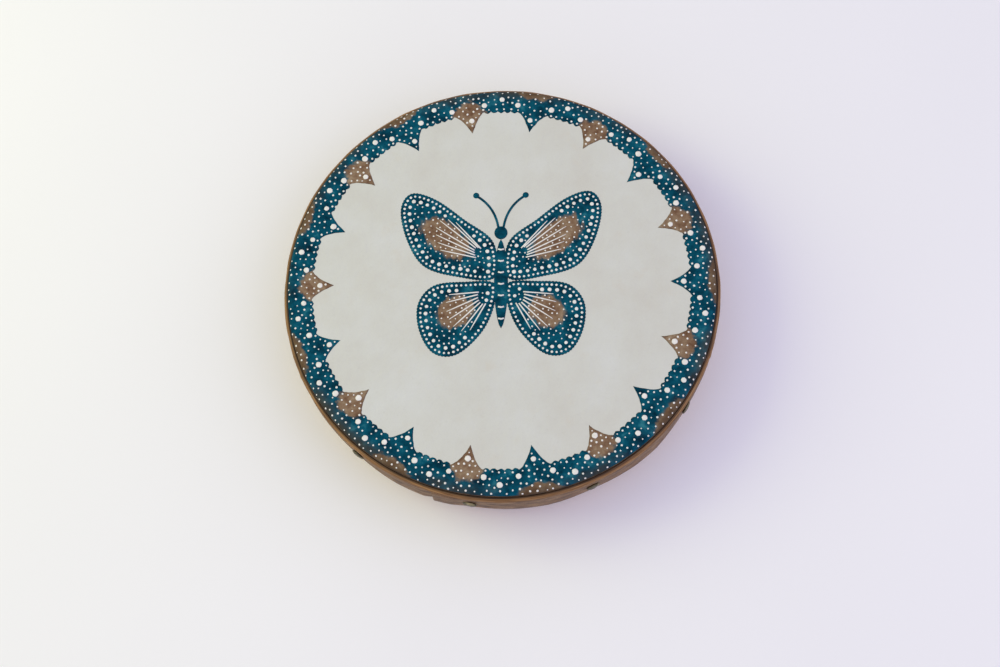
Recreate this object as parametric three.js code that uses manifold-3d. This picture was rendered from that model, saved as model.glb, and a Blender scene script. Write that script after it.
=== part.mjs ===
// A small hand-held frame drum: a bent-wood shell, a goatskin head lapped down its outside, a split-cane
// ring under the playing face, a binding strip over the lap, and a row of dome-headed tacks.
//
// Millimetres.  +Z points out of the playing face.  The origin is the centre of the shell's back edge.

import * as THREE from "three";
import { mergeVertices } from "three/addons/utils/BufferGeometryUtils.js";
import Module from "manifold-3d";

const wasm = await Module();
wasm.setup();

// ---------------------------------------------------------------- driving dimensions

const DEPTH = 45; // back edge to playing face
const FIT = 0.1; // clearance between the skin and the shell under it
const LOOSE_FIT = 0.2; // clearance between the skin and the hoops around it

const SHELL_RADIUS = 121.2; // outside of the shell
const SHELL_WALL = 7;
const SHELL_EASING = 0.8; // chamfer along the back edges and the inner top edge

const SKIN = 1.2; // thickness of the goatskin
const SKIN_TURN = 3.5; // outer radius where the skin turns over the bearing edge
const SKIN_LAP_END = 16.8; // height at which the lapped skin is trimmed

const CANE_THICKNESS = 2.2; // radially
const CANE_HEIGHT = 4;
const CANE_MIDDLE = 39; // height of the cane ring's middle
const CANE_JOINT = 68; // degrees, where the ring's two ends meet
const CANE_JOINT_GAP = 0.6;

const STRIP_THICKNESS = 1.7;
const STRIP_BOTTOM = 18.5;
const STRIP_TOP = 36.4;
const STRIP_EASING = 0.35; // chamfer along the strip's outer edges
const STRIP_JOINT = -108; // degrees, where the strip's two ends meet
const STRIP_JOINT_GAP = 0.6;

const TACK_COUNT = 11;
const TACK_FIRST = -98.3; // degrees
const TACK_DRIFT = 1; // degrees by which the tacks, set by hand, wander from an even spacing
const TACK_HEIGHT = (STRIP_BOTTOM + STRIP_TOP) / 2; // the tacks go through the middle of the strip
const TACK_HEAD_RADIUS = 4;
const TACK_HEAD_RISE = 1.5;
const TACK_RIM = 0.35; // thickness of the head at its edge
const TACK_SHANK_RADIUS = 0.8;
const TACK_SHANK_LENGTH = 9;
const TACK_POINT = 2.5; // length of the tapered tip
const TACK_CLEARANCE = 0.3; // around and beyond the shank
const TACK_SEATING = 0.1; // between the head and the strip

const AROUND = 72; // facets around the drum
const TACK_AROUND = 12; // facets around a tack
const ARC_DIVISIONS = 3; // half the facets along each rounded stretch of a profile

// ---------------------------------------------------------------- worked out from those

const degrees = THREE.MathUtils.degToRad;
const shellInner = SHELL_RADIUS - SHELL_WALL;
const skinInner = SHELL_RADIUS + FIT;
const skinOuter = skinInner + SKIN;
const turnCentre = { r: skinOuter - SKIN_TURN, z: DEPTH - SKIN_TURN };
const bearingRadius = SKIN_TURN - SKIN - FIT;
const shellTop = turnCentre.z + bearingRadius;
const hoopInner = skinOuter + LOOSE_FIT;
const stripOuter = hoopInner + STRIP_THICKNESS;
const tackSeat = stripOuter + TACK_SEATING;

const finishes = {
  shell: { color: 0x9a744b, roughness: 0.6, metalness: 0 },
  drumhead: { color: 0xcfcfc6, roughness: 0.65, metalness: 0 },
  cane_ring: { color: 0x8a5f38, roughness: 0.55, metalness: 0 },
  binding_strip: { color: 0x715a48, roughness: 0.6, metalness: 0 },
  tack: { color: 0x75694d, roughness: 0.5, metalness: 1 },
};

// ---------------------------------------------------------------- shape helpers

// A solid turned about Z from a closed profile, whose x is the radius and y the height.
function turned(profile, facets = AROUND) {
  return new THREE.LatheGeometry(profile.getPoints(ARC_DIVISIONS), facets).rotateX(Math.PI / 2);
}

// A circular arc about Z at one height, from start degrees through sweep degrees.
class HoopCurve extends THREE.Curve {
  constructor(radius, height, start, sweep) {
    super();
    Object.assign(this, { radius, height, start, sweep });
  }

  getPoint(t, target = new THREE.Vector3()) {
    const angle = degrees(this.start + t * this.sweep);
    return target.set(this.radius * Math.cos(angle), this.radius * Math.sin(angle), this.height);
  }
}

// A hoop cut from a straight length and bent round until its ends nearly meet.  The outline's points are
// [outwards, upwards] from the hoop's inner face at its middle height.
function bentHoop(outline, middle, joint, gap) {
  const gapAngle = THREE.MathUtils.radToDeg(gap / hoopInner);
  const path = new HoopCurve(hoopInner, middle, joint + gapAngle / 2, 360 - gapAngle);
  // Along this path ExtrudeGeometry turns a shape's x to -Z and its y inwards.
  const shape = new THREE.Shape(outline.map(([outwards, upwards]) => new THREE.Vector2(-upwards, -outwards)));
  return new THREE.ExtrudeGeometry(shape, { steps: AROUND, bevelEnabled: false, extrudePath: path });
}

function asSolid(geometry) {
  const bare = geometry.clone();
  bare.deleteAttribute("normal");
  bare.deleteAttribute("uv");
  const merged = mergeVertices(bare);
  const vertProperties = merged.attributes.position.array;
  const triVerts = Uint32Array.from(merged.index.array);
  return new wasm.Manifold(new wasm.Mesh({ numProp: 3, vertProperties, triVerts }));
}

function asGeometry(solid) {
  const { vertProperties, triVerts } = solid.getMesh();
  const geometry = new THREE.BufferGeometry();
  geometry.setAttribute("position", new THREE.BufferAttribute(vertProperties, 3));
  geometry.setIndex(new THREE.BufferAttribute(triVerts, 1));
  geometry.computeVertexNormals();
  return geometry;
}

function part(name, geometry, finish) {
  const mesh = new THREE.Mesh(geometry, new THREE.MeshStandardMaterial(finish));
  mesh.name = name;
  return mesh;
}

// ---------------------------------------------------------------- tacks

// The angle of each tack, in degrees.  The spacing is narrowest at the first tack.
const tackAngles = Array.from({ length: TACK_COUNT }, (_, i) => {
  const even = TACK_FIRST + (i * 360) / TACK_COUNT;
  return even - TACK_DRIFT * Math.sin(degrees(even - TACK_FIRST));
});

// Moves a piece made along +Y to one tack's place, with +Y pointing out of the drum.
function tackPlace(angle) {
  const turn = new THREE.Matrix4().makeRotationZ(degrees(angle - 90));
  return turn.multiply(new THREE.Matrix4().makeTranslation(0, tackSeat, TACK_HEIGHT));
}

// A tack along +Y: a shallow dome above y = 0 and a pointed shank below it.
function tackGeometry() {
  const profile = new THREE.Path();
  profile.moveTo(0, -TACK_SHANK_LENGTH);
  profile.lineTo(TACK_SHANK_RADIUS, TACK_POINT - TACK_SHANK_LENGTH);
  profile.lineTo(TACK_SHANK_RADIUS, 0);
  profile.lineTo(TACK_HEAD_RADIUS, 0);
  const domeRise = TACK_HEAD_RISE - TACK_RIM;
  profile.absellipse(0, TACK_RIM, TACK_HEAD_RADIUS, domeRise, 0, Math.PI / 2, false, 0);
  return new THREE.LatheGeometry(profile.getPoints(ARC_DIVISIONS), TACK_AROUND);
}

// Every hole that the tacks make, from outside the strip to just beyond their points.
function tackHoles() {
  const length = TACK_SHANK_LENGTH + TACK_CLEARANCE + TACK_HEAD_RISE;
  const radius = TACK_SHANK_RADIUS + TACK_CLEARANCE;
  const drill = new THREE.CylinderGeometry(radius, radius, length, TACK_AROUND);
  drill.translate(0, TACK_HEAD_RISE - length / 2, 0);
  const holes = tackAngles.map((angle) => asSolid(drill.clone().applyMatrix4(tackPlace(angle))));
  return holes.reduce((all, hole) => all.add(hole));
}

// ---------------------------------------------------------------- the hoops and the head

function shellGeometry() {
  const profile = new THREE.Path();
  profile.moveTo(shellInner + SHELL_EASING, 0);
  profile.lineTo(SHELL_RADIUS - SHELL_EASING, 0);
  profile.lineTo(SHELL_RADIUS, SHELL_EASING);
  profile.absarc(turnCentre.r, turnCentre.z, bearingRadius, 0, Math.PI / 2, false);
  profile.lineTo(shellInner + SHELL_EASING, shellTop);
  profile.lineTo(shellInner, shellTop - SHELL_EASING);
  profile.lineTo(shellInner, SHELL_EASING);
  profile.lineTo(shellInner + SHELL_EASING, 0);
  return turned(profile);
}

function drumheadGeometry() {
  const profile = new THREE.Path();
  profile.moveTo(0, DEPTH - SKIN);
  profile.lineTo(turnCentre.r, DEPTH - SKIN);
  profile.absarc(turnCentre.r, turnCentre.z, SKIN_TURN - SKIN, Math.PI / 2, 0, true);
  profile.lineTo(skinInner, SKIN_LAP_END);
  profile.lineTo(skinOuter, SKIN_LAP_END);
  profile.absarc(turnCentre.r, turnCentre.z, SKIN_TURN, 0, Math.PI / 2, false);
  profile.lineTo(0, DEPTH);
  return turned(profile);
}

// Split cane: flat against the skin and rounded outwards.
function caneRingGeometry() {
  const round = new THREE.EllipseCurve(0, 0, CANE_THICKNESS, CANE_HEIGHT / 2, -Math.PI / 2, Math.PI / 2);
  const outline = round.getPoints(2 * ARC_DIVISIONS).map((point) => point.toArray());
  return bentHoop(outline, CANE_MIDDLE, CANE_JOINT, CANE_JOINT_GAP);
}

function bindingStripGeometry() {
  const half = (STRIP_TOP - STRIP_BOTTOM) / 2;
  const outline = [
    [0, -half],
    [STRIP_THICKNESS - STRIP_EASING, -half],
    [STRIP_THICKNESS, STRIP_EASING - half],
    [STRIP_THICKNESS, half - STRIP_EASING],
    [STRIP_THICKNESS - STRIP_EASING, half],
    [0, half],
  ];
  return bentHoop(outline, (STRIP_TOP + STRIP_BOTTOM) / 2, STRIP_JOINT, STRIP_JOINT_GAP);
}

// ---------------------------------------------------------------- the drum

const holes = tackHoles();
const drilled = (geometry) => asGeometry(asSolid(geometry).subtract(holes));

const drum = new THREE.Group();
drum.add(part("shell", drilled(shellGeometry()), finishes.shell));
drum.add(part("drumhead", drilled(drumheadGeometry()), finishes.drumhead));
drum.add(part("cane_ring", caneRingGeometry(), finishes.cane_ring));
drum.add(part("binding_strip", drilled(bindingStripGeometry()), finishes.binding_strip));

tackAngles.forEach((angle, i) => {
  const tack = part(`tack_${String(i + 1).padStart(2, "0")}`, tackGeometry(), finishes.tack);
  tack.applyMatrix4(tackPlace(angle));
  drum.add(tack);
});

export default drum;
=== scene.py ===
"""A small frame drum with a painted goatskin head, lying head up on a pale floor.

Shapes are drawn in millimetres and turned into metres when a mesh is made.  The drum's radii and heights
come from the CAD frame.  The painted pattern is laid out on a plan of the head, with +Y towards its top:
distances from the middle are measured along the skin, so the plan carries on over the drum's edge.
"""

import math
import random

import bpy
import numpy as np
from mathutils import Matrix, Vector
from mathutils.geometry import delaunay_2d_cdt


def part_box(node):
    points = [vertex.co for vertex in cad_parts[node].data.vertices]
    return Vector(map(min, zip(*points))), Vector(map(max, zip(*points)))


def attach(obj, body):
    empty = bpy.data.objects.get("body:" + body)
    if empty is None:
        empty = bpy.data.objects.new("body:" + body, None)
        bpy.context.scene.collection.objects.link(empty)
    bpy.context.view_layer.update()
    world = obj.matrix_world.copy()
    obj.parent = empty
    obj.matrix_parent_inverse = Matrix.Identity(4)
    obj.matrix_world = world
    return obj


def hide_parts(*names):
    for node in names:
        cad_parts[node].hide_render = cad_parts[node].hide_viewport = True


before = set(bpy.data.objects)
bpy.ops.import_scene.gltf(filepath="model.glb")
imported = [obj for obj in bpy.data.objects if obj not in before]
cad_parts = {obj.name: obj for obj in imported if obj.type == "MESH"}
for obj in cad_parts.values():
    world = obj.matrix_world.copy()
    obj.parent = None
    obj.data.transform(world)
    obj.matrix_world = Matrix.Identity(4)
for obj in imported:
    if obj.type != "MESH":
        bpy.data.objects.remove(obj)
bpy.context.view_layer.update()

MM = 0.001
TURN = 2 * math.pi


# ---------------------------------------------------------------- radii and heights, from the frame


def box_mm(node):
    low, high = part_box(node)
    return np.array(low) / MM, np.array(high) / MM


def radius_of(node):
    low, high = box_mm(node)
    return (high[0] - low[0]) / 2


def heights_of(node):
    low, high = box_mm(node)
    return low[2], high[2]


HEAD_RADIUS = radius_of("drumhead")
LAP_END, TOP = heights_of("drumhead")
SHELL_RADIUS = radius_of("shell")
SHELL_TOP = heights_of("shell")[1]
STRIP_RADIUS = radius_of("binding_strip")
STRIP_LOW, STRIP_HIGH = heights_of("binding_strip")
CANE_RADIUS = radius_of("cane_ring")
CANE_LOW, CANE_HIGH = heights_of("cane_ring")

# ---------------------------------------------------------------- sizes that the frame's boxes don't give

SKIN = 1.2  # thickness of the goatskin
EDGE = 3.5  # radius of the skin where it turns over the shell's edge
FLAT = HEAD_RADIUS - EDGE  # radius of the head's flat
SIDE = FLAT + EDGE * math.pi / 2  # distance along the skin from its middle to where its side is upright
SHELL_WALL = 7.0

# Where the ends of each bent piece meet.
STRIP_JOINT = math.radians(-108)
CANE_JOINT = math.radians(68)
SHELL_JOINT = math.radians(150)

PAINT = 0.08  # thickness of the paint
AROUND = 288  # steps around the drum
PAINT_AROUND = 480  # steps around the painted border
TRIES = 25  # random places tried for scattered dots, in each square as wide as the gap between them


# ---------------------------------------------------------------- shapes on the plan


def spline(points, per):
    """A smooth closed line through points, with per steps between each two."""
    p = np.array(points, float)
    n = len(p)
    line = []
    for i in range(n):
        a, b, c, d = (p[(i + k) % n] for k in (-1, 0, 1, 2))
        for t in np.arange(per) / per:
            square = (2 * a - 5 * b + 4 * c - d) * t**2
            cube = (3 * b - a - 3 * c + d) * t**3
            line.append(0.5 * (2 * b + (c - a) * t + square + cube))
    return np.array(line)


def bezier(start, control, end, steps):
    t = np.linspace(0, 1, steps + 1)[:, None]
    return (1 - t) ** 2 * np.array(start) + 2 * t * (1 - t) * np.array(control) + t**2 * np.array(end)


def resampled(line, step, closed=True):
    """The same line with points about step apart."""
    p = np.vstack([line, line[:1]]) if closed else np.asarray(line)
    lengths = np.hypot(*np.diff(p, axis=0).T)
    along = np.concatenate([[0], np.cumsum(lengths)])
    count = max(int(round(along[-1] / step)), 3)
    at = np.linspace(0, along[-1], count + 1)
    if closed:
        at = at[:-1]
    return np.column_stack([np.interp(at, along, p[:, k]) for k in (0, 1)])


def anticlockwise(loop):
    x, y = loop.T
    return loop if np.sum(x * np.roll(y, -1) - y * np.roll(x, -1)) > 0 else loop[::-1]


def normals(line, closed=True):
    """Unit vectors to the right of travel, which is outwards on an anticlockwise loop."""
    if closed:
        along = np.roll(line, -1, 0) - np.roll(line, 1, 0)
    else:
        along = np.gradient(line, axis=0)
    along /= np.maximum(np.hypot(*along.T), 1e-9)[:, None]
    return np.column_stack([along[:, 1], -along[:, 0]])


def ellipse(x, y, rx, ry, steps):
    t = np.arange(steps) * TURN / steps
    return np.column_stack([x + rx * np.cos(t), y + ry * np.sin(t)])


def lobed(loop, pitch, depth):
    """An anticlockwise loop whose edge swells out in small round lobes."""
    per_lobe = 4
    line = resampled(loop, pitch / per_lobe)
    swell = depth * np.abs(np.sin(np.arange(len(line)) * math.pi / per_lobe))
    return line + normals(line) * swell[:, None]


def inside(points, loop):
    """Which points lie inside a closed loop."""
    x, y = points.T
    found = np.zeros(len(points), bool)
    for (x0, y0), (x1, y1) in zip(loop, np.roll(loop, -1, 0)):
        if y0 != y1:
            found ^= ((y0 > y) != (y1 > y)) & (x < (x1 - x0) * (y - y0) / (y1 - y0) + x0)
    return found


def distance(points, line):
    """How far each point is from the nearest point of a closely spaced line."""
    best = np.full(len(points), np.inf)
    for q in line:
        np.minimum(best, np.hypot(*(points - q).T), out=best)
    return best


def polar(angle, radius):
    return np.column_stack([radius * np.cos(angle), radius * np.sin(angle)])


def scattered(low, high, allowed, gap, seed, taken=()):
    """Random points at least gap apart, kept where allowed(points) is true and clear of taken points."""
    rng = np.random.default_rng(seed)
    low, high = np.array(low, float), np.array(high, float)
    cells = np.prod((high - low) / gap)
    candidates = low + rng.random((int(cells * TRIES), 2)) * (high - low)
    candidates = candidates[allowed(candidates)]
    near = {}

    def cell_of(p):
        return int(p[0] // gap), int(p[1] // gap)

    def clear(p, cell):
        for i in (-1, 0, 1):
            for j in (-1, 0, 1):
                for q in near.get((cell[0] + i, cell[1] + j), ()):
                    if (p[0] - q[0]) ** 2 + (p[1] - q[1]) ** 2 < gap**2:
                        return False
        return True

    for p in taken:
        near.setdefault(cell_of(p), []).append(p)
    kept = []
    for p in candidates:
        cell = cell_of(p)
        if clear(p, cell):
            near.setdefault(cell, []).append(p)
            kept.append(p)
    return np.array(kept).reshape(-1, 2)


# ---------------------------------------------------------------- the head's surface


def swell(x, y):
    """The slight unevenness of a stretched hide, fading out towards the drum's edge."""
    rng = random.Random(3)
    height = np.zeros_like(x)
    for wavelength in (95, 62, 41, 27):
        turn = rng.uniform(0, TURN)
        phase = rng.uniform(0, TURN)
        height += 0.0009 * wavelength * np.sin(
            TURN * (x * math.cos(turn) + y * math.sin(turn)) / wavelength + phase
        )
    fade = np.clip((FLAT - np.hypot(x, y)) / 25, 0, 1)
    return height * fade * fade * (3 - 2 * fade)


def on_head(plan, lift):
    """Points of the plan, lift above the skin's outer face, in millimetres in the drum's frame."""
    x, y = np.asarray(plan, float).T
    s = np.maximum(np.hypot(x, y), 1e-9)
    bend = np.clip((s - FLAT) / EDGE, 0, math.pi / 2)
    radius = np.minimum(s, FLAT) + (EDGE + lift) * np.sin(bend)
    z = TOP - EDGE + (EDGE + lift) * np.cos(bend) - np.maximum(s - SIDE, 0) + swell(x, y)
    return np.column_stack([x * radius / s, y * radius / s, z])


# ---------------------------------------------------------------- meshes


def piece(name, points, faces, material):
    """A smooth-shaded mesh object from points in millimetres that rides on the drum."""
    mesh = bpy.data.meshes.new(name)
    mesh.from_pydata((np.asarray(points) * MM).tolist(), [], [list(map(int, f)) for f in faces])
    mesh.materials.append(material)
    mesh.polygons.foreach_set("use_smooth", [True] * len(mesh.polygons))
    mesh.validate()
    made = bpy.data.objects.new(name, mesh)
    bpy.context.scene.collection.objects.link(made)
    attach(made, "root")
    return made


def skinned(size, loop_around, loop_along, cap=False):
    """Faces over a grid of points, numbered row by row.  size is (number of rows, points per row)."""
    count, per = size
    faces = []
    for i in range(count if loop_along else count - 1):
        j = (i + 1) % count
        for k in range(per if loop_around else per - 1):
            m = (k + 1) % per
            faces.append((i * per + k, i * per + m, j * per + m, j * per + k))
    if cap:
        faces.append(tuple(range(per))[::-1])
        faces.append(tuple((count - 1) * per + k for k in range(per)))
    return faces


def hoop(name, sections, angles, material, closed):
    """A bent hoop.  sections holds its closed outline at each angle as (radius, height) points,
    anticlockwise when outwards is right and up is up, and always the same number of them."""
    s = np.asarray(sections)
    a = np.asarray(angles)[:, None]
    points = np.stack([s[..., 0] * np.cos(a), s[..., 0] * np.sin(a), s[..., 1]], -1)
    faces = skinned(points.shape[:2], True, closed, cap=not closed)
    return piece(name, points.reshape(-1, 3), [f[::-1] for f in faces], material)


def add_attribute(made, name, values):
    attribute = made.data.attributes.new(name, "FLOAT", "POINT")
    attribute.data.foreach_set("value", np.asarray(values, np.float32))


def wander(angles, amount, waves, seed):
    """Irregularity around the drum: waves of the given numbers per turn, at most amount high."""
    rng = random.Random(seed)
    total = np.zeros_like(angles)
    for wave in waves:
        total += rng.uniform(0.4, 1) * np.sin(wave * angles + rng.uniform(0, TURN))
    return amount * total / len(waves)


def film(name, material, outlines, holes, spacing, browns, seed, rings=()):
    """A coat of paint on the head, inside the outlines and outside the holes, with browns as in blobs_of.
    rings are the radii of circles of points, close enough together to follow the head where it bends."""
    loops = [anticlockwise(loop) for loop in (*outlines, *holes)]
    low = np.min([loop.min(0) for loop in outlines], 0)
    high = np.max([loop.max(0) for loop in outlines], 0)
    columns, rows = np.ceil((high - low) / spacing).astype(int)
    grid = np.stack(np.meshgrid(np.arange(columns), np.arange(rows)), -1).reshape(-1, 2).astype(float)
    grid[:, 0] += 0.5 * (grid[:, 1] % 2)
    grid = low + grid * spacing
    if len(rings):
        circles = [polar(np.arange(PAINT_AROUND) * TURN / PAINT_AROUND, radius) for radius in rings]
        grid = np.vstack([grid[np.hypot(*grid.T) < rings[0] - spacing / 2], *circles])
    painted = np.zeros(len(grid), bool)
    for loop in outlines:
        painted |= inside(grid, loop)
    for loop in holes:
        painted &= ~inside(grid, loop)
    grid = grid[painted]

    plan = []
    faces = []
    for loop in loops:
        faces.append(list(range(len(plan), len(plan) + len(loop))))
        plan.extend(loop)
    plan.extend(grid)
    flat, _, cut, _, _, owners = delaunay_2d_cdt([Vector(p) for p in plan], [], faces, 0, 1e-4, True)
    kept = [
        face
        for face, own in zip(cut, owners)
        if own and min(own) < len(outlines) and max(own) < len(outlines)
    ]
    used = sorted({i for face in kept for i in face})
    number = {old: new for new, old in enumerate(used)}
    plan = np.array([flat[i][:] for i in used])
    top = [[number[i] for i in face] for face in kept]

    count = len(plan)
    edges = {(a, b) for face in top for a, b in zip(face, face[1:] + face[:1])}
    border = [(a, b) for a, b in edges if (b, a) not in edges]
    walls = [(b, a, a + count, b + count) for a, b in border]
    under = [[i + count for i in reversed(face)] for face in top]
    points = np.vstack([on_head(plan, PAINT), on_head(plan, -PAINT / 2)])
    made = piece(name, points, top + walls + under, material)
    at_edge = np.zeros(count)
    at_edge[[a for a, _ in border]] = 1
    add_attribute(made, "brownness", np.tile(blobs_of(plan, browns, seed), 2))
    add_attribute(made, "at_edge", np.tile(at_edge, 2))


class Relief:
    """Small raised touches of thick paint: dots and lines on the head."""

    FOOT = PAINT - 0.02  # a touch starts just inside the paint under it
    LINE_TOP = PAINT + 0.12

    def __init__(self, seed):
        self.rng = random.Random(seed)
        self.plan, self.lift, self.faces = [], [], []

    def _add(self, plan, lift, faces):
        first = len(self.plan)
        self.plan.extend(plan)
        self.lift.extend(lift)
        self.faces.extend([[first + i for i in face] for face in faces])

    def dot(self, x, y, radius, steps):
        """A slightly domed and uneven blob."""
        rise = 0.1 + 0.03 * radius
        wobble = [radius * self.rng.uniform(0.92, 1.06) for _ in range(steps)]
        turn = self.rng.uniform(0, TURN)
        angles = [turn + k * TURN / steps for k in range(steps)]
        plan, lift = [], []
        for share, height in ((1.0, self.FOOT), (0.8, PAINT + 0.7 * rise), (0.4, PAINT + rise)):
            for r, a in zip(wobble, angles):
                plan.append((x + share * r * math.cos(a), y + share * r * math.sin(a)))
            lift += [height] * steps
        faces = skinned((3, steps), True, False)
        faces.append(tuple(range(2 * steps, 3 * steps)))
        faces.append(tuple(range(steps))[::-1])
        self._add(plan, lift, faces)

    def line(self, centre, widths):
        """A raised line along centre, with widths across it at each point."""
        centre = np.asarray(centre, float)
        half = np.broadcast_to(np.asarray(widths, float) / 2, len(centre))[:, None]
        side = normals(centre, closed=False) * half
        rows = np.stack([centre + side, centre + side * 0.5, centre - side * 0.5, centre - side], 1)
        heights = np.tile([self.FOOT, self.LINE_TOP, self.LINE_TOP, self.FOOT], len(centre))
        faces = skinned((len(centre), 4), True, False, cap=True)
        self._add(rows.reshape(-1, 2).tolist(), heights.tolist(), [f[::-1] for f in faces])

    def build(self, name, material):
        piece(name, on_head(self.plan, np.array(self.lift)), self.faces, material)


def blobs_of(plan, blobs, seed):
    """How far each point lies inside soft-edged ellipses (x, y, half length, half width, turn in degrees)."""
    rng = random.Random(seed)
    x, y = plan.T
    ragged = np.zeros(len(plan))
    for wavelength in (11, 7, 4.5, 3.1):
        turn, phase = rng.uniform(0, TURN), rng.uniform(0, TURN)
        ragged += 0.05 * np.sin(TURN * (x * math.cos(turn) + y * math.sin(turn)) / wavelength + phase)
    best = np.zeros(len(plan))
    for bx, by, length, width, turn in blobs:
        c, s = math.cos(math.radians(turn)), math.sin(math.radians(turn))
        u, v = ((x - bx) * c + (y - by) * s) / length, ((y - by) * c - (x - bx) * s) / width
        best = np.maximum(best, np.clip((1.2 - np.hypot(u, v) + ragged) / 0.42, 0, 1))
    return best


# ---------------------------------------------------------------- materials


def srgb(*levels):
    """A colour from 0 to 255 levels as seen on a screen."""
    linear = [c / 12.92 if c <= 0.04045 else ((c + 0.055) / 1.055) ** 2.4 for c in (v / 255 for v in levels)]
    return (*linear, 1.0)


class Graph:
    """A material's node tree, with short calls for the nodes used here.  Sizes are in millimetres."""

    def __init__(self, name):
        self.material = bpy.data.materials.new(name)
        self.material.use_nodes = True
        self.tree = self.material.node_tree
        self.shader = self.tree.nodes["Principled BSDF"]
        self.here = self.node("TexCoord").outputs["Object"]

    def feed(self, socket, value):
        if isinstance(value, bpy.types.NodeSocket):
            self.tree.links.new(value, socket)
        else:
            socket.default_value = value

    def node(self, kind, inputs=None, **settings):
        made = self.tree.nodes.new("ShaderNode" + kind)
        for key, value in settings.items():
            setattr(made, key, value)
        for key, value in (inputs or {}).items():
            self.feed(made.inputs[key], value)
        return made

    def maths(self, operation, a, b=0.0):
        return self.node("Math", {0: a, 1: b}, operation=operation).outputs[0]

    def noise(self, size, detail=3.0, roughness=0.55, where=None, stretch=(1, 1, 1)):
        """Noise from 0 to 1 with features about size across, or size times stretch along each axis."""
        scale = [1 / (MM * size * s) for s in stretch]
        place = self.node("Mapping", {"Vector": where or self.here, "Scale": scale})
        made = self.node("TexNoise", {"Vector": place.outputs[0], "Detail": detail, "Roughness": roughness})
        made.inputs["Scale"].default_value = 1.0
        return made.outputs["Fac"]

    def cells(self, size, where=None, stretch=(1, 1, 1)):
        """Distance from the nearest of many scattered points about size apart."""
        scale = [1 / (MM * size * s) for s in stretch]
        place = self.node("Mapping", {"Vector": where or self.here, "Scale": scale})
        return self.node("TexVoronoi", {"Vector": place.outputs[0], "Scale": 1.0}).outputs["Distance"]

    def ramp(self, value, *stops):
        """A colour for each value: stops are (position, colour)."""
        made = self.node("ValToRGB", {"Fac": value})
        elements = made.color_ramp.elements
        while len(elements) < len(stops):
            elements.new(0.5)
        for element, (position, colour) in zip(elements, stops):
            element.position = position
            element.color = colour
        return made.outputs["Color"]

    def step(self, value, low, high):
        """Smoothly from 0 at low to 1 at high, and level beyond them.  low may be the larger."""
        inputs = {"Value": value, "From Min": low, "From Max": high}
        return self.node("MapRange", inputs, interpolation_type="SMOOTHSTEP").outputs["Result"]

    def mix(self, share, a, b):
        made = self.node("Mix", data_type="RGBA")
        for index, value in ((0, share), (6, a), (7, b)):
            self.feed(made.inputs[index], value)
        return made.outputs[2]

    def attribute(self, name):
        return self.node("Attribute", attribute_name=name).outputs["Fac"]

    def around(self, joint):
        """Coordinates that follow the drum's side, in metres: along it, breaking off at a joint, up it and
        out from the drum's axis."""
        turned = self.node("Mapping", {"Vector": self.here, "Rotation": (0, 0, math.pi - joint)})
        parts = self.node("SeparateXYZ", {"Vector": turned.outputs[0]}).outputs
        along = self.maths("MULTIPLY", self.maths("ARCTAN2", parts["Y"], parts["X"]), HEAD_RADIUS * MM)
        squares = [self.maths("POWER", parts[axis], 2.0) for axis in ("X", "Y")]
        through = self.maths("SQRT", self.maths("ADD", *squares))
        return self.node("CombineXYZ", {"X": along, "Y": parts["Z"], "Z": through}).outputs[0]

    def from_axis(self):
        """Distance from the drum's axis, in metres."""
        flat = self.node("VectorMath", {0: self.here, 1: (1, 1, 0)}, operation="MULTIPLY").outputs[0]
        return self.node("VectorMath", {0: flat}, operation="LENGTH").outputs["Value"]

    def bump(self, height, depth, below=None):
        inputs = {"Height": height, "Distance": depth * MM, "Strength": 1.0}
        if below:
            inputs["Normal"] = below
        return self.node("Bump", inputs).outputs["Normal"]

    def finish(self, colour, roughness, normal=None, **others):
        self.feed(self.shader.inputs["Base Color"], colour)
        self.feed(self.shader.inputs["Roughness"], roughness)
        if normal:
            self.feed(self.shader.inputs["Normal"], normal)
        for key, value in others.items():
            self.feed(self.shader.inputs[key.replace("_", " ")], value)
        return self.material


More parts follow.
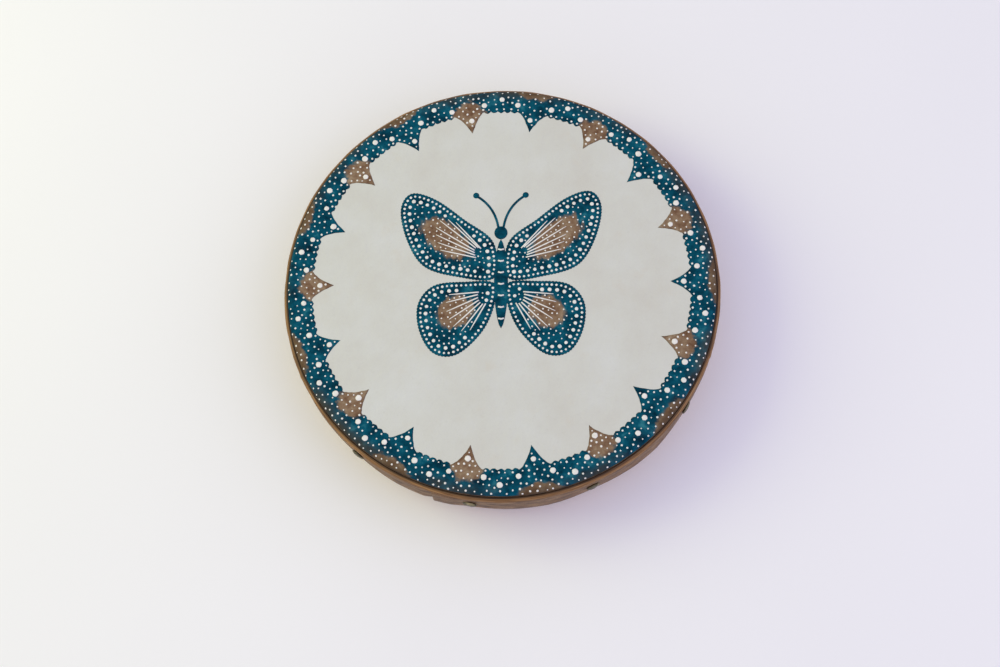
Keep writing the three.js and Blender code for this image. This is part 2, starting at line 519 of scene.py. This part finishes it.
def goatskin():
    """Pale hide: mottled, with fine pores, and stained dark down the drum's side; where that dark shows at
    the turn by the cane it also stands in for the groove's shade (painted shade).
    """
    g = Graph("goatskin")
    clouds = g.noise(34, detail=5, roughness=0.6)
    colour = g.ramp(
        clouds, (0.3, srgb(203, 202, 191)), (0.5, srgb(207, 208, 198)), (0.72, srgb(211, 213, 206))
    )
    warm = g.step(g.noise(12, detail=5, roughness=0.65), 0.56, 0.76)
    colour = g.mix(g.maths("MULTIPLY", warm, 0.3), colour, srgb(206, 199, 182))
    mottle = g.step(g.noise(2.4, detail=4, roughness=0.7), 0.42, 0.3)
    colour = g.mix(g.maths("MULTIPLY", mottle, 0.14), colour, srgb(184, 182, 170))
    pores = g.step(g.cells(1.1), 0.22, 0.05)
    colour = g.mix(g.maths("MULTIPLY", pores, 0.1), colour, srgb(176, 168, 150))

    height = g.node("SeparateXYZ", {"Vector": g.here}).outputs["Z"]
    uneven = g.maths("MULTIPLY", g.maths("SUBTRACT", g.noise(3.2), 0.5), 1.2 * MM)
    # The stain begins under the paint's edge, so that no bare hide shows between the two.  Where it shows at
    # the turn, in the groove by the cane, its dark is also painted shade.
    stain_and_groove_shade = g.step(g.maths("ADD", height, uneven), (TOP - 0.4) * MM, (TOP - 1.0) * MM)
    brown = g.ramp(g.noise(6, stretch=(1, 1, 0.5)), (0.3, srgb(44, 32, 22)), (0.7, srgb(96, 72, 46)))
    colour = g.mix(stain_and_groove_shade, colour, brown)

    inner = g.ramp(g.noise(18, detail=5), (0.3, srgb(176, 150, 108)), (0.7, srgb(205, 187, 148)))
    below = g.step(height, (TOP - 0.4 * SKIN) * MM, (TOP - 0.6 * SKIN) * MM)
    within = g.step(g.from_axis(), (SHELL_RADIUS - 1) * MM, (SHELL_RADIUS - 2) * MM)
    colour = g.mix(g.maths("MULTIPLY", within, below), colour, inner)

    grain = g.bump(g.noise(0.9, detail=4, roughness=0.6), 0.05)
    grain = g.bump(g.noise(5, detail=3), 0.28, below=grain)
    return g.finish(colour, 0.6, grain, Specular_IOR_Level=0.4)


def head_paint():
    """Flat teal and brown paint: washed thin and thick, darker where it gathers at its edges and darker in
    broad patches towards the drum's rim, with a soft ragged join between the colours."""
    g = Graph("head_paint")
    washes = g.noise(9, detail=5, roughness=0.65)
    teal = g.ramp(
        washes,
        (0.32, srgb(0, 38, 54)),
        (0.44, srgb(0, 60, 78)),
        (0.58, srgb(4, 82, 102)),
        (0.72, srgb(48, 118, 130)),
    )
    browns = g.noise(6, detail=5, roughness=0.65)
    brown = g.ramp(
        browns,
        (0.3, srgb(98, 70, 50)),
        (0.46, srgb(124, 98, 76)),
        (0.6, srgb(142, 120, 96)),
        (0.76, srgb(172, 156, 132)),
    )
    ragged = g.maths("MULTIPLY", g.maths("SUBTRACT", g.noise(1.4, detail=4, roughness=0.7), 0.5), 0.8)
    brownness = g.step(g.maths("ADD", g.attribute("brownness"), ragged), 0.2, 0.8)
    colour = g.mix(brownness, teal, brown)
    thin = g.step(g.noise(0.7, detail=3, roughness=0.7), 0.62, 0.84)
    colour = g.mix(g.maths("MULTIPLY", thin, 0.22), colour, srgb(140, 150, 146))
    gathered = g.maths("MULTIPLY", g.attribute("at_edge"), g.step(g.noise(5), 0.3, 0.6))
    colour = g.mix(g.maths("MULTIPLY", gathered, 0.35), colour, srgb(6, 30, 38))
    # Darker brown towards the drum's rim, in broad patches and over the browns.
    rim = g.step(g.from_axis(), (FLAT - 4.5) * MM, (FLAT + 3) * MM)
    rim_blotches = g.step(g.noise(30, detail=5), 0.4, 0.64)
    darker_at_rim = g.maths("MULTIPLY", rim, g.maths("MAXIMUM", rim_blotches, g.maths("MULTIPLY", brownness, 0.8)))
    colour = g.mix(g.maths("MULTIPLY", darker_at_rim, 0.75), colour, srgb(70, 58, 38))
    grain = g.bump(g.noise(0.9, detail=4, roughness=0.6), 0.05)
    return g.finish(colour, 0.75, grain, Specular_IOR_Level=0.05)


def dot_paint():
    """Thick cream paint."""
    g = Graph("dot_paint")
    colour = g.ramp(g.noise(2.5, detail=3), (0.3, srgb(224, 221, 210)), (0.7, srgb(240, 239, 232)))
    return g.finish(colour, 0.6, g.bump(g.noise(0.5, detail=3), 0.03), Specular_IOR_Level=0.3)


def split_cane():
    """Golden-brown cane, with dark and light fibres along its length, and darker on its inner side as painted
    shade where the groove by the skin lies in shadow.
    """
    g = Graph("split_cane")
    side = g.around(CANE_JOINT)
    fibres = g.noise(1, detail=4, roughness=0.6, where=side, stretch=(26, 0.42, 0.42))
    colour = g.ramp(
        fibres,
        (0.34, srgb(74, 48, 26)),
        (0.48, srgb(136, 98, 56)),
        (0.62, srgb(162, 122, 76)),
        (0.74, srgb(192, 158, 112)),
    )
    patches = g.step(g.noise(1, detail=2, where=side, stretch=(22, 5, 5)), 0.48, 0.66)
    colour = g.mix(g.maths("MULTIPLY", patches, 0.45), colour, srgb(92, 66, 40))
    # Painted shade: the cane's inner side, along the groove between cane and skin, is mixed towards dark
    # brown.
    groove_shade = g.step(g.from_axis(), (HEAD_RADIUS + 1.5) * MM, (HEAD_RADIUS + 0.6) * MM)
    colour = g.mix(g.maths("MULTIPLY", groove_shade, 0.8), colour, srgb(40, 28, 18))
    return g.finish(colour, 0.55, g.bump(fibres, 0.15), Specular_IOR_Level=0.3)


def hide_strip():
    """Brown hide: blotched and faintly drawn along its length, with a pebbled grain and paler high spots."""
    g = Graph("hide_strip")
    side = g.around(STRIP_JOINT)
    blotches = g.noise(1, detail=5, roughness=0.6, where=side, stretch=(9, 3.5, 4))
    colour = g.ramp(
        blotches,
        (0.3, srgb(84, 61, 42)),
        (0.46, srgb(118, 90, 64)),
        (0.6, srgb(142, 112, 80)),
        (0.78, srgb(168, 140, 102)),
    )
    drawn = g.noise(1, detail=3, where=side, stretch=(26, 1.6, 3))
    colour = g.mix(g.maths("MULTIPLY", g.step(drawn, 0.52, 0.7), 0.25), colour, srgb(92, 70, 54))
    pebbles = g.cells(1, where=side, stretch=(0.9, 0.7, 0.8))
    colour = g.mix(g.maths("MULTIPLY", g.step(pebbles, 0.45, 0.75), 0.3), colour, srgb(72, 54, 42))
    rubbed = g.maths("MULTIPLY", g.step(blotches, 0.58, 0.72), g.step(pebbles, 0.35, 0.1))
    colour = g.mix(g.maths("MULTIPLY", rubbed, 0.35), colour, srgb(184, 160, 128))
    grain = g.bump(g.noise(1, detail=3, where=side, stretch=(7, 3, 3)), 0.3)
    grain = g.bump(pebbles, -0.1, below=grain)
    return g.finish(colour, 0.58, grain, Specular_IOR_Level=0.35)


def tack_brass():
    """Old brass, dull and dark with tarnish, paler and smoother in patches, with dark specks."""
    g = Graph("tack_brass")
    tarnish = g.noise(4.5, detail=2, roughness=0.5)
    colour = g.ramp(tarnish, (0.3, srgb(64, 62, 48)), (0.52, srgb(100, 94, 72)), (0.72, srgb(154, 141, 104)))
    specks = g.step(g.noise(0.8, detail=2), 0.62, 0.74)
    colour = g.mix(g.maths("MULTIPLY", specks, 0.4), colour, srgb(48, 46, 36))
    rough = g.ramp(tarnish, (0.3, (0.46,) * 4), (0.7, (0.26,) * 4))
    return g.finish(colour, rough, g.bump(g.noise(1.8, detail=1), 0.04), Metallic=0.9)


def bent_wood():
    """A bent board: grain running round the drum, darker late wood and small pores."""
    g = Graph("bent_wood")
    side = g.around(SHELL_JOINT)
    figure = g.noise(1, detail=4, roughness=0.55, where=side, stretch=(90, 4.2, 1.6))
    rings = g.maths("FRACT", g.maths("MULTIPLY", figure, 9.0))
    late = g.step(g.maths("ABSOLUTE", g.maths("SUBTRACT", rings, 0.5)), 0.22, 0.5)
    colour = g.ramp(figure, (0.3, srgb(176, 128, 78)), (0.7, srgb(202, 158, 104)))
    colour = g.mix(g.maths("MULTIPLY", late, 0.55), colour, srgb(132, 88, 50))
    pores = g.noise(1, detail=2, where=side, stretch=(7, 0.35, 0.35))
    colour = g.mix(g.maths("MULTIPLY", g.step(pores, 0.62, 0.74), 0.5), colour, srgb(96, 62, 36))
    return g.finish(colour, 0.58, g.bump(pores, -0.08))


def floor_card():
    g = Graph("floor_card")
    tone = g.ramp(g.noise(420, detail=2), (0.3, (0.87, 0.87, 0.87, 1)), (0.7, (0.9, 0.9, 0.9, 1)))
    return g.finish(tone, 0.8, g.bump(g.noise(1.8, detail=4), 0.03))


# ---------------------------------------------------------------- the drumhead


def make_drumhead():
    """The hide: flat top, turn, lapped side with a hand-cut lower edge, and the raw inner face."""
    angles = np.arange(AROUND) * TURN / AROUND
    upright = TOP - EDGE  # height below which the side is upright
    lap = upright - LAP_END + wander(angles, 0.7, (3, 7, 13, 23, 37), 5)
    pucker = wander(angles, 0.18, (17, 29, 43, 61), 6)
    bevel = 0.3  # along both sides of the cut edge
    inner = HEAD_RADIUS - SKIN
    inner_turn = EDGE - SKIN
    rows = []

    def row(radius, z):
        rows.append(np.column_stack([radius * np.cos(angles), radius * np.sin(angles), z + 0 * angles]))

    flat_rows = np.linspace(0, FLAT, 34)[1:]
    turn_rows = np.linspace(FLAT, SIDE, 9)[1:]
    for s in (*flat_rows, *turn_rows):
        rows.append(on_head(polar(angles, s), 0.0))
    for share in np.linspace(0, 1, 12)[1:]:
        row(HEAD_RADIUS + pucker * share, upright - lap * share)
    row(HEAD_RADIUS + pucker - bevel, upright - lap - bevel)
    row(inner + bevel, upright - lap - bevel)
    for share in np.linspace(1, 0, 8):
        row(inner, upright - lap * share)
    for bend in np.linspace(0, math.pi / 2, 6)[1:]:
        row(FLAT + inner_turn * math.cos(bend), upright + inner_turn * math.sin(bend))
    for s in np.linspace(FLAT, 0, 26)[1:-1]:
        rows.append(on_head(polar(angles, s), 0.0) - (0, 0, SKIN))
    middle = on_head(np.zeros((1, 2)), 0.0)
    points = np.vstack([*rows, middle, middle - (0, 0, SKIN)])
    faces = [face[::-1] for face in skinned((len(rows), AROUND), True, False)]
    centre, under = len(points) - 2, len(points) - 1
    last = (len(rows) - 1) * AROUND
    for k in range(AROUND):
        m = (k + 1) % AROUND
        faces.append((centre, k, m))
        faces.append((under, last + m, last + k))
    head = piece("hide_head", points, faces, goatskin())
    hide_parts("drumhead")


# ---------------------------------------------------------------- the painted border

# A plain repeating border: a band with evenly spaced triangular points, every other one brown.
POINT_COUNT = 18
POINT_STEP = TURN / POINT_COUNT
BAND_INNER = 108.5  # radius of the band's inner edge between the points
POINT_HEIGHT = 12.5
POINT_HALF = 9.0  # half the width of a point's foot
SCALLOPS = 5  # round lobes between two points
# The large dots of one point: each one's share of the way to the next point and distance from the middle.
LARGE_DOTS = ((0, BAND_INNER - 5), (0.25, 112.5), (0.5, 116.5), (0.75, 112.5))
LARGE_CLEARANCE = 3  # from a large dot's middle to the nearest small one's
SMALL_PITCH = 3  # between the small dots that follow the band's inner edge
SMALL_GAP = 2.95  # between the others
PAINT_END = FLAT + 4.2  # the paint stops here, part of the way round the turn


def border_edge():
    """The border's inner edge: hollow-sided points with round lobes between them, wavering a little."""
    rng = random.Random(11)
    half = POINT_HALF / BAND_INNER
    line = []
    for index in range(POINT_COUNT):
        middle = index * POINT_STEP
        t = np.linspace(-1, 1, 19)
        height = (POINT_HEIGHT + rng.uniform(-0.6, 0.6)) * (1 - np.abs(t)) ** 1.45
        line.append(polar(middle + t * half, BAND_INNER - height))
        gap = POINT_STEP - 2 * half
        t = np.linspace(0, 1, 6 * SCALLOPS + 1)[1:-1]
        lobes = 1.1 * np.abs(np.sin(math.pi * SCALLOPS * t))
        line.append(polar(middle + half + t * gap, BAND_INNER - lobes))
    line = np.vstack(line)
    return line + np.array([[rng.uniform(-0.16, 0.16) for _ in range(2)] for _ in line])


def border_browns():
    """Brown all over every other point, and a patch along the rim outside each of the others."""
    blobs = []
    for index in range(POINT_COUNT):
        angle = index * POINT_STEP
        brown_point = index % 2
        radius = BAND_INNER - 3 if brown_point else PAINT_END + 1
        ((x, y),) = polar(angle, radius)
        half_depth, half_width = (10.5, 9.5) if brown_point else (7, 13)
        blobs.append((x, y, half_depth, half_width, math.degrees(angle)))
    return blobs


def make_border(edge, paint):
    around = np.arange(PAINT_AROUND) * TURN / PAINT_AROUND
    rim = polar(around, PAINT_END + wander(around, 0.5, (31, 57, 83, 120), 21))
    bending = np.linspace(FLAT, PAINT_END - 0.7, 7)
    film("border_paint", paint, [rim], [edge], 1.3, border_browns(), 31, bending)


def make_border_dots(edge, cream):
    """Large dots, one in each point and a zigzag of three between each two, and small ones around them."""
    rng = random.Random(12)
    dots = Relief(13)
    large = []
    for index in range(POINT_COUNT):
        for share, radius in LARGE_DOTS:
            angle = (index + share) * POINT_STEP + rng.uniform(-0.008, 0.008)
            (spot,) = polar(angle, radius + rng.uniform(-0.6, 0.6))
            large.append(spot)
            dots.dot(*spot, rng.uniform(1.5, 1.85), steps=20)

    centres = np.array(large)
    inner = resampled(edge, 0.6)

    def room(plan, gap):
        clear = ~inside(plan, edge) & (np.hypot(*plan.T) < PAINT_END - 1)
        clear[clear] &= distance(plan[clear], inner) > gap
        clear[clear] &= distance(plan[clear], centres) > LARGE_CLEARANCE
        return clear

    # Small dots: first a row just inside the border's inner edge, then the rest of the border.
    along = inner + normals(inner) * 1.5
    row = []
    for p in along[room(along, 1.2)]:
        if all((p[0] - q[0]) ** 2 + (p[1] - q[1]) ** 2 > SMALL_PITCH**2 for q in row):
            row.append(p)
    corner = np.array((PAINT_END, PAINT_END))
    rest = scattered(-corner, corner, lambda plan: room(plan, 1.3), SMALL_GAP, 14, row)
    for x, y in [*row, *rest]:
        jitter = rng.uniform(-0.25, 0.25), rng.uniform(-0.25, 0.25)
        dots.dot(x + jitter[0], y + jitter[1], rng.uniform(0.42, 0.72), steps=9)
    dots.build("border_dots", cream)


# ---------------------------------------------------------------- the painted butterfly

# A plain, symmetrical butterfly.  Outlines of the right wings, anticlockwise from beside the body.
FORE_WING = ((4, 3.5), (25, 4.5), (44, 11), (54, 27), (58, 46), (52, 56), (38, 52), (21, 39), (4.5, 25))
HIND_WING = ((4, -13), (11, -29), (25, -42), (38, -41), (46, -28), (47, -12), (38, -1), (20, 1), (4, 0))
# Middle of each wing's brown patch, with its half length, half width and turn in degrees.
WING_CELLS = ((32, 28, 17, 9, 42), (26, -17, 11, 9, -35))
WING_ROOTS = ((4.5, 13.5), (4.5, -4.5))  # where each wing's veins start
BODY_TOP, BODY_BOTTOM, BODY_HALF = 27, -27, 4
BODY_BARS, BAR_HALF = 7, 1.7  # their number and half their width
BUTTERFLY_HEAD = (0, 31, 3.8, 4)  # the middle of its head, and half its width and height
VEINS = 7  # in each wing
VEIN_LENGTH = 0.62  # share of the way from a wing's root to its edge


def body_outline():
    y = np.linspace(BODY_BOTTOM, BODY_TOP, 26)
    t = (y - BODY_BOTTOM) / (BODY_TOP - BODY_BOTTOM)
    half = BODY_HALF * np.sin(math.pi * t) ** 0.6
    return np.vstack([np.column_stack([half, y]), np.column_stack([-half, y])[::-1][1:-1]])


def antenna(side):
    """A plain stem that leans outwards, with a round club."""
    stem = bezier((side * 1.3, 33), (side * 3, 47), (side * 14, 54), 12)
    out = normals(stem, closed=False) * 0.7
    return [np.vstack([stem + out, (stem - out)[::-1]]), ellipse(side * 14.4, 54.4, 1.8, 1.8, 16)]


def wing_veins(wing, root, marks):
    """Straight veins that fan out from a wing's root.  Returns points along them."""
    reach = np.hypot(*(wing - root).T)
    far = wing[reach > 0.7 * reach.max()]
    ends = far[np.linspace(0, len(far) - 1, VEINS + 2).astype(int)[1:-1]]
    drawn = []
    for end in ends:
        line = root + np.linspace(0.2, VEIN_LENGTH, 12)[:, None] * (end - root)
        marks.line(line, np.interp(np.linspace(0, 1, len(line)), [0, 0.7, 1], [0.9, 0.8, 0.4]))
        drawn.append(resampled(line, 0.7, closed=False))
    return np.vstack(drawn)


def wing_dots(wing, veins, seed, marks):
    """Two even rows of dots that follow the wing's edge, and small dots scattered over the rest."""
    rng = random.Random(seed)
    rows = []
    for inset, pitch, radius in ((1.9, 2.7, 0.75), (4.9, 4.2, 1.15)):
        row = resampled(wing - normals(wing) * inset, pitch)
        row = row[distance(row, veins) > radius + 0.8]
        kept = row[:1]
        for spot in row[1:]:
            if distance(spot[None], kept)[0] > 0.85 * pitch:
                kept = np.vstack([kept, spot])
        for x, y in kept:
            marks.dot(x, y, radius * rng.uniform(0.9, 1.1), steps=10)
        rows.append(kept)
    edging = np.vstack(rows)

    def free(plan):
        clear = inside(plan, wing)
        clear[clear] &= distance(plan[clear], resampled(wing, 1.0)) > 6.4
        clear[clear] &= distance(plan[clear], veins) > 1.2
        clear[clear] &= distance(plan[clear], edging) > 2.2
        return clear

    for x, y in scattered(wing.min(0), wing.max(0), free, 2.7, seed + 1):
        marks.dot(x, y, rng.uniform(0.42, 0.6), steps=8)


def make_butterfly(paint, cream):
    marks = Relief(42)
    outlines = [body_outline(), ellipse(*BUTTERFLY_HEAD, 32)]
    browns = []
    wings = list(zip((FORE_WING, HIND_WING), WING_CELLS, WING_ROOTS))
    for side in (-1, 1):
        for number, (shape, cell, root) in enumerate(wings):
            outline = spline(np.array(shape) * (side, 1), 8)
            wing = resampled(anticlockwise(outline), 0.8)
            outlines.append(lobed(wing, 1.9, 0.35))
            x, y, length, width, turn = cell
            browns.append((side * x, y, length, width, side * turn))
            veins = wing_veins(wing, np.array(root) * (side, 1), marks)
            wing_dots(wing, veins, 43 + 4 * number + side, marks)
        outlines += antenna(side)
    for y in np.linspace(BODY_BOTTOM + 6, BODY_TOP - 6, BODY_BARS):
        marks.line([(-BAR_HALF, y), (0, y - 0.4), (BAR_HALF, y)], 1.1)
    film("butterfly_paint", paint, outlines, [], 1.1, browns, 47)
    marks.build("butterfly_marks", cream)


# ---------------------------------------------------------------- hoops around the head


def tack_direction(node):
    middle = np.mean([v.co[:2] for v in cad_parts[node].data.vertices], 0)
    return math.atan2(middle[1], middle[0])


def tack_nodes():
    return sorted(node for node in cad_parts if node.startswith("tack_"))


def apart(angles, direction):
    """How far each angle is from a direction, the short way round."""
    return np.abs((angles - direction + math.pi) % TURN - math.pi)


CANE_GAP = 0.5  # between the cane's ends
CANE_NODES = -20, 205  # degrees
NODE_RISE, NODE_WIDTH = 0.28, 1.4


def make_cane_ring():
    """Split cane: flat against the skin, round outside with shallow fibre ridges and two nodes."""
    half_gap = CANE_GAP / HEAD_RADIUS / 2
    angles = np.linspace(CANE_JOINT + half_gap, CANE_JOINT + TURN - half_gap, 5 * AROUND // 2)
    inner = HEAD_RADIUS + 0.03  # pulled tight, so that hardly any light comes up past the skin
    thick = CANE_RADIUS + 0.1 - inner
    half = (CANE_HIGH - CANE_LOW) / 2
    middle = (CANE_HIGH + CANE_LOW) / 2 + wander(angles, 0.22, (2, 5, 11, 17), 51)
    proud = wander(angles, 0.3, (3, 9, 21, 40), 52)
    for node_at in CANE_NODES:
        away = apart(angles, math.radians(node_at)) * HEAD_RADIUS
        proud += NODE_RISE * np.exp(-((away / NODE_WIDTH) ** 2))
    bend = np.linspace(-math.pi / 2, math.pi / 2, 17)
    ridges = 0.07 * np.cos(bend * 9)
    sections = np.zeros((len(angles), len(bend) + 1, 2))
    for i in range(len(angles)):
        reach = (thick + proud[i] + ridges) * np.cos(bend) ** 0.8
        sections[i, :-1, 0] = inner + reach
        sections[i, :-1, 1] = middle[i] + half * np.sin(bend)
        sections[i, -1] = inner, middle[i]
    made = hoop("cane_hoop", sections, angles, split_cane(), False)
    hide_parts("cane_ring")


STRIP_LAP = 9  # of one end over the other
STRIP_FREE = 26  # distance from a tack at which the strip stands off fully
STRIP_ROWS = 9  # of points up the strip's face, between its rounded edges


def make_binding_strip():
    """A hide strip, pulled in by the tacks and standing off a little between them, with uneven edges.
    One end laps over the other, which is pared thin under it."""
    angles = np.linspace(STRIP_JOINT, STRIP_JOINT + TURN + STRIP_LAP / HEAD_RADIUS, 3 * AROUND)
    along = (angles - STRIP_JOINT) * HEAD_RADIUS
    before_end = (angles[-1] - angles) * HEAD_RADIUS
    to_tack = np.min([apart(angles, tack_direction(node)) for node in tack_nodes()], 0) * HEAD_RADIUS
    stand_off = 0.95 + wander(angles, 0.8, (2, 3, 7, 13), 60)
    loose = np.clip(to_tack / STRIP_FREE, 0, 1) ** 1.5 * stand_off
    inner = HEAD_RADIUS + 0.15
    thick = STRIP_RADIUS - inner
    # The last end is pared thin, and the first one is lifted over it.
    pared = 0.3 + 0.7 * np.clip((before_end - STRIP_LAP) / 6, 0, 1)
    over = 0.75 * np.clip(1 - (along - 10) / 12, 0, 1) ** 1.5
    low = STRIP_LOW + wander(angles, 0.75, (3, 8, 14, 22, 34), 61) - 0.5 * np.clip(1 - along / 26, 0, 1)
    high = STRIP_HIGH + wander(angles, 0.3, (4, 9, 19), 62)
    folds = [wander(angles, 0.2, (1, 2, 5, 9), 63 + k) for k in range(STRIP_ROWS)]
    outside = STRIP_ROWS + 2
    sections = np.zeros((len(angles), outside + 2, 2))
    for i in range(len(angles)):
        flare = loose[i] * np.linspace(1, 0, outside) ** 1.3
        base = inner + over[i]
        face = base + thick * pared[i]
        profile = [face - 0.55] + [face + fold[i] * pared[i] for fold in folds] + [face - 0.5]
        sections[i, 0] = base + flare[0], low[i] + 0.1
        sections[i, 1:-1, 0] = profile + flare
        sections[i, 1:-1, 1] = np.linspace(low[i], high[i], outside)
        sections[i, 2, 1] = low[i] + 0.45
        sections[i, -3, 1] = high[i] - 0.4
        sections[i, -1] = base, high[i] - 0.1
    made = hoop("hide_binding", sections, angles, hide_strip(), False)
    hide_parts("binding_strip")


SHELL_OVERLAP = 75  # of one end of the board over the other
END_TAPER = 40  # length over which each end's step fades into the board's face
INNER_STEP, OUTER_STEP = 0.4, 0.35  # heights of the steps that the ends leave
STEP_WIDTH = 0.12


def make_shell():
    """A bent board whose tapered ends are glued one over the other: a fine step shows at each end."""
    inner_seam, outer_seam = SHELL_JOINT, SHELL_JOINT + SHELL_OVERLAP / SHELL_RADIUS
    half_step = 0.5 * (STEP_WIDTH / SHELL_RADIUS)
    even = inner_seam - half_step + np.arange(AROUND) * TURN / AROUND
    angles = np.sort([*even, inner_seam + half_step, outer_seam - half_step, outer_seam + half_step])
    inside_r = SHELL_RADIUS - SHELL_WALL
    ease, bearing = 0.9, EDGE - SKIN - 0.1
    sections = []
    for angle in angles:
        past_inner = ((angle - inner_seam) % TURN) * inside_r
        before_outer = ((outer_seam - angle) % TURN) * SHELL_RADIUS
        r_in = inside_r - INNER_STEP * max(0, 1 - past_inner / END_TAPER)
        r_out = SHELL_RADIUS - OUTER_STEP * max(0, 1 - before_outer / END_TAPER)
        section = []
        for x, z, turn_x, turn_z in (
            (r_out - ease, ease, 1, -1),
            (r_out - bearing, SHELL_TOP - bearing, 1, 1),
            (r_in + ease, SHELL_TOP - ease, -1, 1),
            (r_in + ease, ease, -1, -1),
        ):
            size = bearing if turn_x > 0 and turn_z > 0 else ease
            first = math.atan2(turn_z, turn_x) - math.pi / 4
            for t in np.linspace(first, first + math.pi / 2, 5):
                section.append((x + size * math.cos(t), z + size * math.sin(t)))
        sections.append(section)
    made = hoop("wooden_shell", sections, angles, bent_wood(), True)
    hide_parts("shell")


# ---------------------------------------------------------------- tacks


TACK_RIM = 0.35  # thickness of the head at its edge
TACK_SHANK = 0.8  # radius
TACK_POINT = 2.5  # length of the tapered tip
TACK_STEPS = 28  # around a tack


def make_tack(name, brass, seed):
    """A domed head, hand-beaten and a little uneven, on a round shank with a point."""
    rng = random.Random(seed)
    points = np.array([v.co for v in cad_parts[name].data.vertices]) / MM
    middle = points.mean(0)
    direction = tack_direction(name)
    outwards = np.array([math.cos(direction), math.sin(direction), 0])
    side = np.array([-outwards[1], outwards[0], 0])
    up = np.array([0, 0, 1.0])
    top = (points @ outwards).max()
    tip = (points @ outwards).min()
    low, high = box_mm(name)
    head_radius = (high[2] - low[2]) / 2
    # The seat is the innermost place where the CAD tack is about as wide as its head.
    wide = np.hypot(points @ side, points[:, 2] - middle[2]) > 0.9 * head_radius
    seat = (points[wide] @ outwards).min()
    rise = top - seat
    shank = [(TACK_SHANK, -(seat - tip) + TACK_POINT), (TACK_SHANK, -0.1), (2 * TACK_SHANK, 0.05)]
    profile = [*shank, (head_radius - 0.5, 0.0)]
    for t in np.linspace(0, math.pi / 2, 9)[:-1]:
        profile.append((head_radius * math.cos(t), TACK_RIM + (rise - TACK_RIM) * math.sin(t)))
    lean = rng.uniform(-0.07, 0.07), rng.uniform(-0.07, 0.07)
    squash = rng.uniform(0.95, 1.0)
    dents = [(rng.uniform(0, TURN), rng.uniform(0.8, 2.6), rng.uniform(0.8, 1.6)) for _ in range(3)]
    rows = []

    def place(u, v, height):
        for turn, far, size in dents:
            du, dv = u - far * math.cos(turn), v - far * math.sin(turn)
            if height > TACK_RIM:
                height -= 0.16 * math.exp(-(du * du + dv * dv) / size**2)
        height += (lean[0] * u + lean[1] * v) * (height > 0)
        return outwards * (seat + height) + side * u + up * (v + middle[2])

    for radius, height in profile:
        for k in range(TACK_STEPS):
            t = k * TURN / TACK_STEPS
            rows.append(place(radius * math.cos(t), radius * squash * math.sin(t), height))
    faces = skinned((len(profile), TACK_STEPS), True, False)
    point, crown = len(rows), len(rows) + 1
    rows.append(place(0, 0, tip - seat))
    rows.append(place(0, 0, rise))
    last = (len(profile) - 1) * TACK_STEPS
    for k in range(TACK_STEPS):
        m = (k + 1) % TACK_STEPS
        faces.append((point, m, k))
        faces.append((crown, last + k, last + m))
    made = piece(name.replace("tack", "dome_tack"), rows, faces, brass)
    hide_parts(name)


# ---------------------------------------------------------------- floor, lights and camera


def make_floor():
    half = 15.0
    z = -0.0001  # just under the drum, so that their faces aren't in one plane
    mesh = bpy.data.meshes.new("floor")
    corners = [(-half, -half, z), (half, -half, z), (half, half, z), (-half, half, z)]
    mesh.from_pydata(corners, [], [(0, 1, 2, 3)])
    mesh.materials.append(floor_card())
    floor = bpy.data.objects.new("floor", mesh)
    bpy.context.scene.collection.objects.link(floor)


def softbox(name, azimuth, elevation, distance, size, colour, power):
    """A square area light that faces the drum.  Degrees, with azimuth anticlockwise from +X, and metres."""
    a, e = math.radians(azimuth), math.radians(elevation)
    back = Vector((math.cos(a) * math.cos(e), math.sin(a) * math.cos(e), math.sin(e)))
    data = bpy.data.lights.new(name, "AREA")
    data.shape = "SQUARE"
    data.size = size
    data.color = colour
    data.energy = power
    lamp = bpy.data.objects.new(name, data)
    lamp.location = back * distance
    lamp.rotation_euler = back.to_track_quat("Z", "Y").to_euler()
    bpy.context.scene.collection.objects.link(lamp)


def make_lights():
    softbox("softbox_left", 168, 36, 1.5, 0.9, (0.9, 1.0, 0.34), 9.2)
    softbox("softbox_right", -10, 36, 1.4, 1.4, (0.87, 0.87, 1.0), 3.2)
    world = bpy.data.worlds.new("studio")
    world.use_nodes = True
    background = world.node_tree.nodes["Background"]
    background.inputs["Color"].default_value = (0.69, 0.655, 0.83, 1)
    background.inputs["Strength"].default_value = 1.0
    bpy.context.scene.world = world


VIEW_AZIMUTH, VIEW_ELEVATION = math.radians(5.6), math.radians(70)
VIEW_DISTANCE = 0.7925  # metres
AIM_LEFT, AIM_BELOW = 0.0006, 0.0282  # from the head's middle to the picture's, in metres


def make_camera():
    """A 50 mm lens on a 36 mm frame, above the drum's near side, with the pattern upright in the picture."""
    middle = Vector((0, 0, (TOP - SKIN) * MM))
    flat = math.cos(VIEW_ELEVATION)
    back = Vector((math.sin(VIEW_AZIMUTH) * flat, -math.cos(VIEW_AZIMUTH) * flat, math.sin(VIEW_ELEVATION)))
    right = Vector((0, 1, 0)).cross(back).normalized()
    place = middle + back * VIEW_DISTANCE
    aim = middle - right * AIM_LEFT - back.cross(right) * AIM_BELOW
    back = (place - aim).normalized()
    right = Vector((0, 1, 0)).cross(back).normalized()
    data = bpy.data.cameras.new("camera")
    data.lens = 50
    data.sensor_width = 36
    camera = bpy.data.objects.new("camera", data)
    turn = Matrix((right, back.cross(right), back)).transposed().to_4x4()
    camera.matrix_world = Matrix.Translation(place) @ turn
    bpy.context.scene.collection.objects.link(camera)
    bpy.context.scene.camera = camera


# ---------------------------------------------------------------- the whole drum

make_drumhead()
paint_finish, cream_finish = head_paint(), dot_paint()
painted_edge = border_edge()
make_border(painted_edge, paint_finish)
make_border_dots(painted_edge, cream_finish)
make_butterfly(paint_finish, cream_finish)
make_cane_ring()
make_binding_strip()
make_shell()
brass_finish = tack_brass()
for number, node in enumerate(tack_nodes()):
    make_tack(node, brass_finish, 70 + number)

make_floor()
make_lights()
make_camera()
bpy.context.scene.view_settings.view_transform = "Standard"
